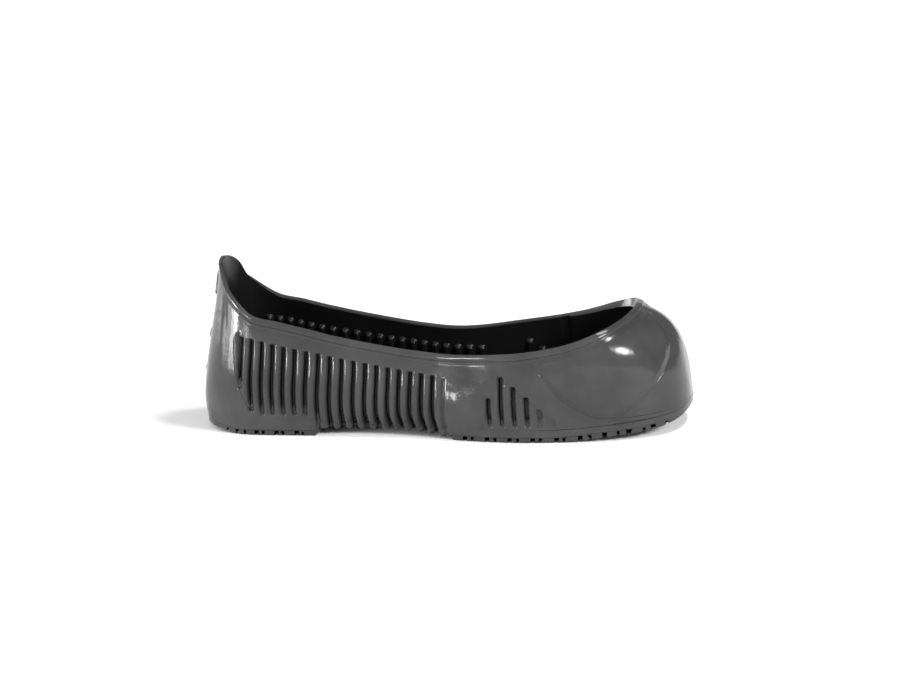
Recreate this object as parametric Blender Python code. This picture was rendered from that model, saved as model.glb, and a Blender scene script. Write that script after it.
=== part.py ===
"""Slip-on rubber overshoe, right foot. Toe towards +X, inner (medial) side towards +Y, up +Z.
Two solids: the moulded upper and the outsole that closes it underneath."""

import bpy
import numpy as np

# Lengths are in millimetres, and MM turns them into Blender's metres.
MM = 0.001

# Stations along the shoe. s is x from the heel arc to the toe arc; before and after that it counts
# the columns of the two arcs, so that HEEL_S is the middle of the heel and TOE_S the middle of the toe.
HEEL_S, TOE_S = -158.0, 150.0
HEEL_PLANE, TOE_PLANE = -128.0, 80.0

# Half widths in plan: x, edge of the sole, collar.
PLAN = {
    "x": (-100, -80, -60, -40, -20, 0, 20, 40, 60, 80),
    "sole": (36.2, 36.4, 35.8, 35.6, 37.0, 41.0, 46.8, 50.6, 52.4, 52.0),
    "rim": (34.2, 34.1, 35.6, 36.2, 36.7, 38.2, 44.0, 50.0, 53.3, 52.8),
}
# The ends of the two outlines are superellipses: where each starts, how far it reaches, its power.
HEEL_ARC = {"start": -100.0, "sole": 50.5, "rim": 36.8, "power": 2.2}
TOE_ARC = {"start": 80.0, "sole": 71.4, "rim": 38.6, "power": 2.35}
# The toe half bends towards the inner side: x, sideways shift. It starts below zero so that the
# origin is under the middle of the shoe's box.
SWING = {"x": (-160, -20, 20, 60, 100, 130, 160), "y": (-2.67, -2.67, -2.07, -0.47, 1.73, 3.33, 4.33)}

# Wall by station: height of the parting line with the sole, its inset from the sole's edge, the
# four handles of the wall's curve as (out, up) at the foot and (out, down) at the collar, and the
# collar's height.
WALL = {
    "s": (-158, -150, -142, -135, -128, -112, -95, -80, -73, -64, -40, -20, 0, 12, 18, 40, 60, 80, 90,
          103, 112, 121, 134, 150),
    "part_z": (9.5, 9.5, 9.5, 9.5, 9.5, 9.5, 9.5, 9.5, 9.5, 6.6, 6.2, 5.8, 5.4, 6.2, 8.0, 8.0, 8.0, 8.4,
               9.4, 10.8, 11.8, 12.9, 14.6, 16.0),
    "part_in": (0, 0, 0, 0, 0, 0, 0, 0, 0, 2.0, 4.0, 4.5, 3.2, 1.0, 0, 0, 0, 0, 0, 0, 0, 0, 0, 0),
    "foot_out": (3.8, 3.8, 3.8, 3.8, 4.2, 5.0, 5.4, 6.0, 6.4, 9.0, 13.0, 13.0, 10.0, 7.6, 6.6, 6.0, 5.4,
                 4.6, 4.2, 3.0, 2.0, 0.8, -1.1, -3.4),
    "foot_up": (20, 20, 20, 21, 20, 20, 19, 17, 15, 11, 9, 9, 11, 13, 15, 17, 18, 20, 22.5, 26, 28.9, 32.1,
                36.8, 38.4),
    "rim_out": (4.0, 4.0, 3.8, 3.8, 3.8, 3.8, 3.8, 3.8, 3.8, 4.0, 4.0, 3.8, 3.2, 2.6, 2.2, 2.0, 2.6, 5.2,
                7.4, 11.0, 14.5, 17.3, 21.3, 23.2),
    "rim_down": (36, 36, 36, 32, 26, 22, 21, 20, 20, 19, 18, 17, 16, 16, 16, 16, 16, 15, 14, 12.6, 11.8,
                 10.7, 9.1, 6.3),
    "rim_z": (104.9, 103.9, 102.2, 97.8, 88.7, 74.9, 70.5, 66.8, 65.2, 63.0, 58.2, 54.8, 52.4, 51.9, 52.0,
              53.4, 55.3, 58.6, 60.8, 64.4, 66.8, 69.2, 71.6, 73.0),
}


def smooth(xs, ys, x):
    """Cubic through a table, with the slopes of its neighbours (no overshoot where it turns)."""
    xs, ys = np.asarray(xs, float), np.asarray(ys, float)
    steps = np.diff(ys) / np.diff(xs)
    inner = np.where(steps[:-1] * steps[1:] > 0, (steps[:-1] + steps[1:]) / 2, 0.0)
    limit = 3 * np.minimum(abs(steps[:-1]), abs(steps[1:]))
    slopes = np.concatenate([[steps[0]], np.clip(inner, -limit, limit), [steps[-1]]])
    x = np.clip(x, xs[0], xs[-1])
    i = np.clip(np.searchsorted(xs, x, side="right") - 1, 0, len(xs) - 2)
    width = xs[i + 1] - xs[i]
    t = (x - xs[i]) / width
    return (ys[i] * (1 + 2 * t) * (1 - t) ** 2 + ys[i + 1] * t**2 * (3 - 2 * t)
            + width * t * (1 - t) * (slopes[i] * (1 - t) - slopes[i + 1] * t))


def wall(column, s):
    return smooth(WALL["s"], WALL[column], s)


def half_width(line, x):
    """Half width of an outline, "sole" or "rim", at x, before the toe's swing."""
    heel = np.clip((HEEL_ARC["start"] - x) / HEEL_ARC[line], 0, 1) ** HEEL_ARC["power"]
    toe = np.clip((x - TOE_ARC["start"]) / TOE_ARC[line], 0, 1) ** TOE_ARC["power"]
    y = smooth(PLAN["x"], PLAN[line], x)
    return y * (1 - heel) ** (1 / HEEL_ARC["power"]) * (1 - toe) ** (1 / TOE_ARC["power"])


def fan(line, arc, sign, plane, part):
    """Points of an end arc: part 0 is the plane x = plane, and part 1 the middle of the end."""
    across = half_width(line, arc["start"])
    first = np.arctan2(half_width(line, plane) / across, abs(plane - arc["start"]) / arc[line])
    angle = first * (1 - part)
    power = arc["power"]
    radius = (np.cos(angle) ** power + np.sin(angle) ** power) ** (-1 / power)
    return arc["start"] + sign * arc[line] * radius * np.cos(angle), across * radius * np.sin(angle)


def outline(line, s):
    """(x, half width) of an outline at the stations s."""
    s = np.asarray(s, float)
    heel = fan(line, HEEL_ARC, -1, HEEL_PLANE, np.clip((HEEL_PLANE - s) / (HEEL_PLANE - HEEL_S), 0, 1))
    toe = fan(line, TOE_ARC, 1, TOE_PLANE, np.clip((s - TOE_PLANE) / (TOE_S - TOE_PLANE), 0, 1))
    x = np.where(s < HEEL_PLANE, heel[0], np.where(s > TOE_PLANE, toe[0], s))
    y = np.where(s < HEEL_PLANE, heel[1], np.where(s > TOE_PLANE, toe[1], half_width(line, s)))
    return x, y


def outward(line, s, step=0.05):
    """The plan direction square to an outline, pointing out of the half at y > 0."""
    ahead, behind = outline(line, np.minimum(s + step, TOE_S)), outline(line, np.maximum(s - step, HEEL_S))
    along = np.stack([ahead[0] - behind[0], ahead[1] - behind[1]], -1)
    along /= np.linalg.norm(along, axis=-1, keepdims=True)
    return np.stack([-along[:, 1], along[:, 0]], -1)


def wall_surface(s, side, v):
    """Smooth outer wall without its details: rows v from 0 at the sole to 1 at the collar."""
    sole_x, sole_y = outline("sole", s)
    rim_x, rim_y = outline("rim", s)
    out = outward("sole", s)
    inset = wall("part_in", s)
    foot = np.stack([sole_x - out[:, 0] * inset, sole_y - out[:, 1] * inset, wall("part_z", s)], -1)
    rim = np.stack([rim_x, rim_y, wall("rim_z", s)], -1)
    lift = np.zeros((len(s), 3))
    low, high = lift.copy(), lift.copy()
    low[:, :2], low[:, 2] = out * wall("foot_out", s)[:, None], wall("foot_up", s)
    high[:, :2], high[:, 2] = out * wall("rim_out", s)[:, None], -wall("rim_down", s)
    v = np.asarray(v, float)
    v = (v if v.ndim == 2 else np.broadcast_to(v, (len(s), len(v))))[..., None]
    points = (foot[:, None] * (1 - v) ** 3 + (foot + low)[:, None] * 3 * v * (1 - v) ** 2
              + (rim + high)[:, None] * 3 * v**2 * (1 - v) + rim[:, None] * v**3)
    points[..., 1] *= side[:, None]
    points[..., 1] += smooth(SWING["x"], SWING["y"], points[..., 0])
    top = smooth(GROOVE_ENDS["x"], GROOVE_ENDS["high"], s)[:, None]
    below = np.clip((top - points[..., 2]) / LEAN_HEIGHT, 0, 1)
    points[..., 0] -= smooth(LEAN["s"], LEAN["back"], s)[:, None] * below**2 * (3 - 2 * below)
    return points


# Wall thickness by station; the toe box has a thicker wall behind the step inside it.
THICK = {"s": (-158, 69, 71, 150), "mm": (2.4, 2.4, 3.6, 3.6)}

# Collar: a rounded bead, and below it a flat band. Distances are down the wall from the top edge.
BEAD = {"down": (4.8, 4.2, 2.9, 1.3), "out": (0.0, 0.45, 0.5, 1.3)}
BEAD_SHARE = {"s": (-158, -147, -136, 150), "of": (0.2, 0.4, 1.0, 1.0)}
CROWN = 1.1

# Bellows: upright grooves pressed through the wall, so that each shows as a bump inside. "at" is the
# station of each, and the inner side has two more of them towards the toe.
BELLOWS = {
    "at": (-117.9, -111.5, -104.9, -98.3, -91.5, -84.6, -77.6, -70.2, -62.8, -55.4, -48.0, -40.8, -33.7,
           -26.5, -19.6, -12.6, -5.7, 1.2, 8.2, 15.2),
    "count": {-1: 18, 1: 20}, "deep": 2.4, "ridge": 0.4, "bump": 1.2, "floor": 0.8, "mouth": 1.9,
}
# Forefoot grooves: a shorter group under a peaked outline.
FORE = {"at": (36.7, 44.3, 51.9, 59.6, 67.2, 74.8), "count": {-1: 6, 1: 6}, "deep": 1.9, "ridge": 0.0,
        "bump": 1.2, "floor": 0.7, "mouth": 1.7}
RIDGE_REACH = 3.9
# The bellows grooves lean: their lower ends lie further back than their tops, over this height.
LEAN = {"s": (-135, -119, -20, 0, 20), "back": (0, 2, 2, 1.2, 0)}
LEAN_HEIGHT = 34.0
# Heights of the lower and upper groove ends, by x. A low end of -20 runs off the wall's foot.
# "run" is the height over which an end fades out; past the grooves it only spaces the mesh rows.
GROOVE_ENDS = {
    "x": (-158, -128, -118, -111, -104, -91, -77, -71, -66, -20, 2, 18, 24, 36.7, 44.3, 51.9, 59.6, 67.2,
          74.8, 84, 100, 150),
    "low": (21, 24, 29.3, 13.8, 12.4, 12.2, 12.2, 10, -20, -20, -20, -20, 9.2, 9.2, 9.2, 9.2, 9.2, 9.2,
            9.2, 14, 18, 25),
    "high": (82, 70, 61.6, 60.4, 59.1, 56, 53.2, 52.2, 51.2, 43, 39.7, 38, 36, 27.9, 40.7, 35, 28.6,
             21.3, 15.4, 42, 52, 61),
    "run": (15, 11, 2.5, 2.5, 2.5, 2.5, 2.5, 2.5, 2.5, 2.5, 2.5, 2.5, 2.5, 2.5, 2.5, 2.5, 2.5, 2.5,
            2.5, 7, 8, 9),
}

# Toe panel: a shallow leaf-shaped recess on each side of the toe, from its lower edge to the collar.
PANEL = {
    "s": (64, 69, 75, 82, 86.4, 90.8, 94.5, 98, 101, 105.3, 111.5, 118.5, 125.3, 130.6, 136, 141),
    "low": (50.5, 41.5, 33.0, 25.1, 19.8, 16.1, 14.6, 14.2, 14.9, 19.6, 26.3, 33.7, 40.8, 47.0, 54.2, 63),
}
PANEL_DEEP, PANEL_BELOW_RIM = 0.8, 5.4

# Plain raised marks down the back of the heel: from z, to z, half width, how proud.
HEEL_MARKS = ((82.5, 97.0, 13.0, 1.1), (55.0, 61.5, 8.0, 0.9), (35.5, 39.0, 8.0, 0.7))
FAN_MM = 1.5  # along the wall for each unit of s in the heel arc

# Sole: gap to the upper, how far its plug rises into the upper, tread height, where the two treads end.
GAP, PLUG, TREAD = 0.3, 1.6, 3.0
HEEL_FRONT, FORE_BACK = (-72.5, -68.0), (10.2, 12.7)
HEEL_SPINE, TOE_SPINE = -112.0, 108.0
ARCH = {"x": (-72, -55, -38, -20, -8, 2, 14), "z": (4.5, 4.5, 4.0, 3.4, 2.6, 1.9, 1.2)}
SPRING = {
    "x": (-152, -143, -138, -132, -122, -100, 70, 80, 96, 106, 116, 126, 135, 141, 145, 148, 150.5, 152),
    "z": (3.4, 2.7, 2.1, 1.2, 0.0, 0.0, 0.0, 0.3, 1.8, 2.8, 3.5, 4.3, 5.4, 6.6, 7.8, 9.0, 10.9, 12.0),
}

# Tread: wide channels across, and narrow cuts in the edges of the lugs.
WIDE, NARROW, NARROW_DEEP, NARROW_REACH = 2.8, 1.5, 2.4, 9.0
WIDE_CUTS = (-123.6, -111.2, -98.6, -85.7, 20.6, 34.5, 48.4, 62.3, 76.4, 90.5, 104.7, 118.5, 132.2)
NARROW_CUTS = (-130.8, -118.9, -107.1, -94.3, -81.9, 25.3, 39.5, 53.3, 66.5, 80.9, 96.5, 112.7, 127.1, 139.5)

UPPER_GREY, SOLE_GREY = (0.075, 0.075, 0.078), (0.06, 0.06, 0.062)


def nearest(group, s, side):
    """The middle of the group's groove nearest to each station."""
    at = np.array(group["at"][:group["count"][side]])
    return at[abs(np.asarray(s)[:, None] - at).argmin(axis=1)]


def centred(s, side):
    """The stations, each moved to the middle of the groove whose mouth it lies in."""
    s = np.asarray(s, float).copy()
    for group in (BELLOWS, FORE):
        middle = nearest(group, s, side)
        s = np.where(abs(s - middle) < group["mouth"] + 0.01, middle, s)
    return s


def groove_moves(s, z, side):
    """How far the wall's outer and inner faces move at stations s and heights z; out is positive."""
    outer, inner = np.zeros_like(z), np.zeros_like(z)
    for group in (BELLOWS, FORE):
        middle = nearest(group, s, side)
        low = smooth(GROOVE_ENDS["x"], GROOVE_ENDS["low"], middle)[:, None]
        high = smooth(GROOVE_ENDS["x"], GROOVE_ENDS["high"], middle)[:, None]
        off = abs(s - middle)[:, None]
        run = smooth(GROOVE_ENDS["x"], GROOVE_ENDS["run"], middle)[:, None]
        tall = np.clip((z - low) / run, 0, 1) * np.clip((high - z) / run, 0, 1)
        across = np.clip((group["mouth"] - off) / (group["mouth"] - group["floor"]), 0, 1)
        near = off < RIDGE_REACH
        outer += tall * near * (group["ridge"] - across * (group["deep"] + group["ridge"]))
        inner -= tall * across * group["bump"]
    return outer, inner


def square_to(s, side, v):
    """Unit directions square to the smooth wall, pointing out of the shoe."""
    ds, dv = 0.05, 0.004
    ahead = wall_surface(np.minimum(s + ds, TOE_S), side, v)
    along = ahead - wall_surface(np.maximum(s - ds, HEEL_S), side, v)
    up = wall_surface(s, side, np.minimum(v + dv, 1)) - wall_surface(s, side, np.maximum(v - dv, 0))
    normal = np.cross(along, up) * -side[:, None, None]
    normal[(s <= HEEL_S) | (s >= TOE_S), :, 1] = 0
    return normal / np.linalg.norm(normal, axis=-1, keepdims=True)


def v_rows(s, side, heights, downs):
    """v of the rows asked for: first at the given heights, then at distances down from the collar."""
    v = np.linspace(0, 1, 121)
    points = wall_surface(s, side, v)
    steps = np.linalg.norm(np.diff(points, axis=1), axis=-1)
    down = np.concatenate([np.cumsum(steps[:, ::-1], axis=1)[:, ::-1], np.zeros((len(s), 1))], axis=1)
    rows = [[np.interp(z, points[i, :, 2], v) for z in heights[i]]
            + [np.interp(-d, -down[i], v) for d in downs] for i in range(len(s))]
    return np.array(rows)


def stations(side):
    """Columns of one side: the corners of every groove, and plain ones between."""
    marks = []
    for group in (BELLOWS, FORE):
        middles = np.array(group["at"][:group["count"][side]])
        for off in (-group["mouth"], -group["floor"], group["floor"], group["mouth"]):
            marks.extend(middles + off)
    plain = np.concatenate([np.linspace(HEEL_S, HEEL_PLANE, 8), [-123.5, 9, 16, 23, 29],
                            np.linspace(TOE_PLANE, TOE_S, 14)])
    marks.extend(x for x in plain if min(abs(x - np.array(marks))) > 2.4 or x in (HEEL_S, TOE_S))
    return np.array(sorted(marks))


def groove_heights(s, side):
    """The five heights that each column's rows follow between the sole and the collar: the ends of
    its groove, and one more between them, or above them where the groove is short."""
    middle = centred(s, side)
    low = smooth(GROOVE_ENDS["x"], GROOVE_ENDS["low"], middle)
    low = np.maximum(low, wall("part_z", s) + 1.2)
    high = smooth(GROOVE_ENDS["x"], GROOVE_ENDS["high"], middle)
    run = np.minimum(smooth(GROOVE_ENDS["x"], GROOVE_ENDS["run"], middle), 0.3 * (high - low))
    top = wall("rim_z", s) - BEAD["down"][0]
    short = np.stack([low, low + run, high - run, high, (high + top) / 2], -1)
    tall = np.stack([low, low + run, (low + high) / 2, high - run, high], -1)
    return np.where((top - high > high - low)[:, None], short, tall)


def both_sides(columns):
    """One closed loop of columns: the outer (-Y) side from heel to toe, then the inner side back."""
    near, far = columns(-1), columns(1)
    return np.concatenate([near, far[-2:0:-1]])


def upper_half(side):
    """Columns of the upper's section: up the outer face, over the bead and down the inner face."""
    s = stations(side)
    sides = np.full(len(s), float(side))
    heights = groove_heights(s, side)
    foot = np.zeros((len(s), 1))
    v_out = np.concatenate([foot, v_rows(s, sides, heights, BEAD["down"])], axis=1)
    v_in = np.concatenate([v_rows(s, sides, heights[:, ::-1], (0.8,))[:, [5, 0, 1, 2, 3, 4]], foot], axis=1)
    outer, inner = wall_surface(s, sides, v_out), wall_surface(s, sides, v_in)
    out_move, _ = groove_moves(s, outer[..., 2], side)
    _, in_move = groove_moves(s, inner[..., 2], side)
    out_move[:, 6:] = smooth(BEAD_SHARE["s"], BEAD_SHARE["of"], s)[:, None] * BEAD["out"]
    thick = smooth(THICK["s"], THICK["mm"], s)[:, None]
    crown = (outer[:, -1] + inner[:, 0] - square_to(s, sides, v_in)[:, 0] * thick) / 2
    crown[:, 2] += CROWN
    foot_in = wall_surface(s, sides, foot)[:, 0]
    ring = outward("sole", s) * (thick + 0.5)
    foot_in[:, 0] -= ring[:, 0]
    foot_in[:, 1] -= ring[:, 1] * side
    outer = outer + square_to(s, sides, v_out) * out_move[..., None]
    inner = inner + square_to(s, sides, v_in) * (in_move - thick)[..., None]
    inner[:, -1] = foot_in
    return np.concatenate([outer, crown[:, None], inner], axis=1)


def outsole_half(side):
    """Columns of the outsole's section: from the middle of its top, out over the seat and the side,
    and back under the tread to the middle."""
    s = sole_stations()
    foot, thick = wall("part_z", s), smooth(THICK["s"], THICK["mm"], s)
    x, y = outline("sole", s)
    x -= smooth(LEAN["s"], LEAN["back"], s)
    out = outward("sole", s)
    tread = np.maximum(1 - np.clip((s - HEEL_FRONT[0]) / (HEEL_FRONT[1] - HEEL_FRONT[0]), 0, 1),
                       np.clip((s - FORE_BACK[0]) / (FORE_BACK[1] - FORE_BACK[0]), 0, 1))
    under = tread * smooth(SPRING["x"], SPRING["z"], x) + (1 - tread) * smooth(ARCH["x"], ARCH["z"], x)
    arch_in = wall("part_in", s) + (1 - tread)
    spine = np.clip(s, HEEL_SPINE, TOE_SPINE)
    rows = (
        (None, foot + PLUG), (arch_in + thick + 0.9, foot + PLUG), (arch_in + thick + 0.9, foot - GAP),
        (arch_in, foot - GAP), (arch_in, under + 0.3 + tread * 2.9),
        (arch_in + 0.4 - tread * 0.15, under + 0.15 + tread * 2.65), (arch_in + 0.8 - tread * 0.2, under),
        (None, under - 0.2 * tread * np.where(s > 0, np.minimum(under, 6), 0)),
    )
    points = []
    for inset, z in rows:
        if inset is None:
            px, py = spine, np.zeros_like(s)
        else:
            px, py = x - out[:, 0] * inset, np.maximum(y - out[:, 1] * inset, 0)
        points.append(np.stack([px, py * side + smooth(SWING["x"], SWING["y"], px), z], -1))
    return np.stack(points, axis=1)


def sole_stations():
    ends = np.concatenate([np.linspace(HEEL_S, HEEL_PLANE, 9), np.linspace(TOE_PLANE, TOE_S, 16)])
    middle = np.concatenate([np.arange(-122, 78, 12.0), HEEL_FRONT, FORE_BACK, (-77, -64, -20, 7, 18)])
    return np.unique(np.concatenate([ends, middle]))


def mesh_object(name, points, faces, collection):
    """A mesh from points in millimetres, with points that coincide joined and its faces turned out."""
    joined, index = np.unique(np.round(points, 5), axis=0, return_inverse=True)
    index = index.reshape(-1)
    kept = []
    for face in faces:
        loop = [int(index[i]) for i in face]
        loop = [v for k, v in enumerate(loop) if v != loop[k - 1]]
        if len(set(loop)) > 2:
            kept.append(loop)
    volume = sum(np.dot(joined[f[0]], np.cross(joined[f[k]], joined[f[k + 1]]))
                 for f in kept for k in range(1, len(f) - 1))
    if volume < 0:
        kept = [face[::-1] for face in kept]
    mesh = bpy.data.meshes.new(name)
    mesh.from_pydata((joined * MM).tolist(), [], kept)
    mesh.validate()
    obj = bpy.data.objects.new(name, mesh)
    collection.objects.link(obj)
    return obj


def grid_faces(columns, rows, close_rows):
    """Quads of a grid whose columns run in a loop, and whose rows do too when close_rows is set."""
    faces = []
    for i in range(columns):
        j = (i + 1) % columns
        for k in range(rows if close_rows else rows - 1):
            m = (k + 1) % rows
            faces.append((i * rows + k, j * rows + k, j * rows + m, i * rows + m))
    return faces


def loft(name, grid, collection, close_rows=True):
    columns, rows = grid.shape[:2]
    return mesh_object(name, grid.reshape(-1, 3), grid_faces(columns, rows, close_rows), collection)


def patch(name, s, sides, low, high, depth, collection, rows=5):
    """A solid that follows the wall between two heights, from depth[0] to depth[1] out of its face."""
    share = np.linspace(0, 1, rows)
    v = v_rows(s, sides, low[:, None] * (1 - share) + high[:, None] * share, ())
    face, square = wall_surface(s, sides, v), square_to(s, sides, v)
    grid = np.stack([face + square * depth[0], face + square * depth[1]])
    n, m = len(s), rows
    faces = []
    for i in range(n - 1):
        for k in range(m - 1):
            a, b, c, d = i * m + k, (i + 1) * m + k, (i + 1) * m + k + 1, i * m + k + 1
            faces += [(a, b, c, d), (n * m + d, n * m + c, n * m + b, n * m + a)]
    rim = ([i * m for i in range(n)] + [(n - 1) * m + k for k in range(1, m)]
           + [i * m + m - 1 for i in range(n - 2, -1, -1)] + [k for k in range(m - 2, 0, -1)])
    for p, q in zip(rim, rim[1:] + rim[:1]):
        faces.append((q, p, n * m + p, n * m + q))
    return mesh_object(name, grid.reshape(-1, 3), faces, collection)


def toe_panel(name, side, collection):
    s, low = np.array(PANEL["s"], float), np.array(PANEL["low"], float)
    high = np.maximum(wall("rim_z", s) - PANEL_BELOW_RIM, low + 0.4)
    return patch(name, s, np.full(len(s), float(side)), low, high, (-PANEL_DEEP, 3.0), collection)


def heel_mark(name, low, high, half, proud, collection):
    """A plain raised bar across the middle of the heel's back."""
    steps = HEEL_S + np.array([half, half * 0.6, half * 0.3, 0, half * 0.3, half * 0.6, half]) / FAN_MM
    sides = np.array([-1, -1, -1, -1, 1, 1, 1], float)
    ends = (np.full(len(steps), low), np.full(len(steps), high))
    return patch(name, steps, sides, *ends, (-1.2, proud), collection, rows=2)


def boxes(name, spans, collection):
    """One mesh of separate boxes, each given as its low and high corners."""
    points, faces = [], []
    for low, high in spans:
        base = len(points)
        points += [(x, y, z) for z in (low[2], high[2]) for x, y in (
            (low[0], low[1]), (high[0], low[1]), (high[0], high[1]), (low[0], high[1]))]
        faces += [tuple(base + i for i in face) for face in (
            (3, 2, 1, 0), (4, 5, 6, 7), (0, 1, 5, 4), (1, 2, 6, 5), (2, 3, 7, 6), (3, 0, 4, 7))]
    return mesh_object(name, np.array(points, float), faces, collection)


def combine(target, other, operation):
    modifier = target.modifiers.new(f"{operation.title()} {other.name}", "BOOLEAN")
    modifier.object, modifier.operation, modifier.solver = other, operation, "EXACT"
    other.hide_render = True
    other.display_type = "WIRE"


def rubber(obj, colour, roughness):
    material = bpy.data.materials.new(f"{obj.name}_rubber")
    material.use_nodes = True
    shader = material.node_tree.nodes["Principled BSDF"]
    shader.inputs["Base Color"].default_value = (*colour, 1.0)
    shader.inputs["Roughness"].default_value = roughness
    obj.data.materials.append(material)


def tread_cuts():
    """Cross channels between the lugs: wide ones right across, and narrow ones at the edges."""
    spans = []
    for x in WIDE_CUTS:
        rise = float(smooth(SPRING["x"], SPRING["z"], x))
        spans.append(((x - WIDE / 2, -70, -2), (x + WIDE / 2, 80, rise + TREAD)))
    for x in NARROW_CUTS:
        rise = float(smooth(SPRING["x"], SPRING["z"], x))
        middle = float(smooth(SWING["x"], SWING["y"], x))
        reach = half_width("sole", x) - NARROW_REACH
        for side in (-1, 1):
            ends = sorted((middle + side * reach, middle + side * 75))
            spans.append(((x - NARROW / 2, ends[0], -2), (x + NARROW / 2, ends[1], rise + NARROW_DEEP)))
    return spans


def main():
    for obj in list(bpy.data.objects):
        bpy.data.objects.remove(obj)
    shoe = bpy.data.collections.new("overshoe")
    cutters = bpy.data.collections.new("cutters")
    cutters.hide_render = True
    for collection in (shoe, cutters):
        bpy.context.scene.collection.children.link(collection)

    upper = loft("upper", both_sides(upper_half), shoe)
    for side, name in ((-1, "panel_outer"), (1, "panel_inner")):
        combine(upper, toe_panel(name, side, cutters), "DIFFERENCE")
    for number, mark in enumerate(HEEL_MARKS):
        combine(upper, heel_mark(f"heel_mark_{number}", *mark, cutters), "UNION")
    outsole = loft("outsole", both_sides(outsole_half), shoe, close_rows=False)
    combine(outsole, boxes("channels", tread_cuts(), cutters), "DIFFERENCE")

    rubber(upper, UPPER_GREY, 0.32)
    rubber(outsole, SOLE_GREY, 0.45)


main()
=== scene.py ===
"""Looks of the slip-on rubber overshoe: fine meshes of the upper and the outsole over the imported
frame, their rubber, the camera at the photograph's angle, floor and light."""

import math

import bmesh
import bpy
import numpy as np
from mathutils import Matrix, Vector


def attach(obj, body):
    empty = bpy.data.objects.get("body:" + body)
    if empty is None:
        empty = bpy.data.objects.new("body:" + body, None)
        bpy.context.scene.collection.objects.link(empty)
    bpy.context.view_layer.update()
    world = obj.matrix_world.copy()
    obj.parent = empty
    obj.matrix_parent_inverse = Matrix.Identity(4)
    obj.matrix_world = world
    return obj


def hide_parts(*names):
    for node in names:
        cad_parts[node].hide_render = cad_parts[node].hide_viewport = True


# Lengths are in millimetres, and MM turns them into metres.
MM = 0.001

# Camera, from a fit to the photograph: degrees, metres, and where the point aimed at falls in the
# 900 x 675 picture.
PHOTO = (900, 675)
AIM = (0.0, -0.00267, 0.040)
AZIMUTH, ELEVATION, ROLL, DISTANCE = 12.0, 12.5, 2.5, 1.75
PIXELS_PER_M = 1635.0
AIM_PIXEL = (443.8, 358.9)

# Stations along the shoe: s is x between the two end arcs, and counts their columns beyond.
HEEL_S, TOE_S = -158.0, 150.0
HEEL_PLANE, TOE_PLANE = -128.0, 80.0
# Millimetres along the wall for each unit of s in the heel's arc.
FAN_MM = 1.5

# Half widths in plan: x, edge of the sole, collar.
PLAN = {
    "x": (-100, -80, -60, -40, -20, 0, 20, 40, 60, 80),
    "sole": (36.2, 36.4, 35.8, 35.6, 37.0, 41.0, 46.8, 50.6, 52.4, 52.0),
    "rim": (34.2, 34.1, 35.6, 36.2, 36.7, 38.2, 44.0, 50.0, 53.3, 52.8),
}
# The ends of the two outlines are superellipses: where each starts, how far it reaches, its power.
HEEL_ARC = {"start": -100.0, "sole": 50.5, "rim": 36.8, "power": 2.2}
TOE_ARC = {"start": 80.0, "sole": 71.4, "rim": 38.6, "power": 2.35}
# The toe half bends towards the inner side: x, sideways shift. It starts below zero so that the
# origin is under the middle of the shoe's box.
SWING = {"x": (-160, -20, 20, 60, 100, 130, 160), "y": (-2.67, -2.67, -2.07, -0.47, 1.73, 3.33, 4.33)}

# Wall by station: height of the parting line with the sole, its inset from the sole's edge, the
# four handles of the wall's curve as (out, up) at the foot and (out, down) at the collar, and the
# collar's height.
WALL = {
    "s": (-158, -150, -142, -135, -128, -112, -95, -80, -73, -64, -40, -20, 0, 12, 18, 40, 60, 80, 90,
          103, 112, 121, 134, 150),
    "part_z": (9.5, 9.5, 9.5, 9.5, 9.5, 9.5, 9.5, 9.5, 9.5, 6.6, 6.2, 5.8, 5.4, 6.2, 8.0, 8.0, 8.0, 8.4,
               9.4, 10.8, 11.8, 12.9, 14.6, 16.0),
    "part_in": (0, 0, 0, 0, 0, 0, 0, 0, 0, 2.0, 4.0, 4.5, 3.2, 1.0, 0, 0, 0, 0, 0, 0, 0, 0, 0, 0),
    "foot_out": (3.8, 3.8, 3.8, 3.8, 4.2, 5.0, 5.4, 6.0, 6.4, 9.0, 13.0, 13.0, 10.0, 7.6, 6.6, 6.0, 5.4,
                 4.6, 4.2, 3.0, 2.0, 0.8, -1.1, -3.4),
    "foot_up": (20, 20, 20, 21, 20, 20, 19, 17, 15, 11, 9, 9, 11, 13, 15, 17, 18, 20, 22.5, 26, 28.9, 32.1,
                36.8, 38.4),
    "rim_out": (4.0, 4.0, 3.8, 3.8, 3.8, 3.8, 3.8, 3.8, 3.8, 4.0, 4.0, 3.8, 3.2, 2.6, 2.2, 2.0, 2.6, 5.2,
                7.4, 11.0, 14.5, 17.3, 21.3, 23.2),
    "rim_down": (36, 36, 36, 32, 26, 22, 21, 20, 20, 19, 18, 17, 16, 16, 16, 16, 16, 15, 14, 12.6, 11.8,
                 10.7, 9.1, 6.3),
    "rim_z": (104.9, 103.9, 102.2, 97.8, 88.7, 74.9, 70.5, 66.8, 65.2, 63.0, 58.2, 54.8, 52.4, 51.9, 52.0,
              53.4, 55.3, 58.6, 60.8, 64.4, 66.8, 69.2, 71.6, 73.0),
}

# Collar, as (distance down from the edge, out of the wall), and how much of that is left at the heel.
BEAD = ((6.2, 0.0), (5.7, 0.05), (5.4, 0.3), (5.0, 0.36), (4.6, 0.34), (4.35, 0.0), (4.15, 0.3), (3.9, 0.75),
        (3.4, 1.05), (2.6, 1.2), (1.8, 1.25), (1.0, 1.22), (0.5, 1.14), (0.15, 0.98))
BEAD_SHARE = {"s": (-158, -147, -136, 150), "of": (0.2, 0.4, 1.0, 1.0)}
# The collar is thicker round the toe, inwards: extra thickness by station, and how far down it reaches.
LIP = {"s": (-158, 96, 118, 132, 150), "mm": (0, 0, 0.8, 2.2, 2.6)}
LIP_END, LIP_FADE = 10.0, 7.0
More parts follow.
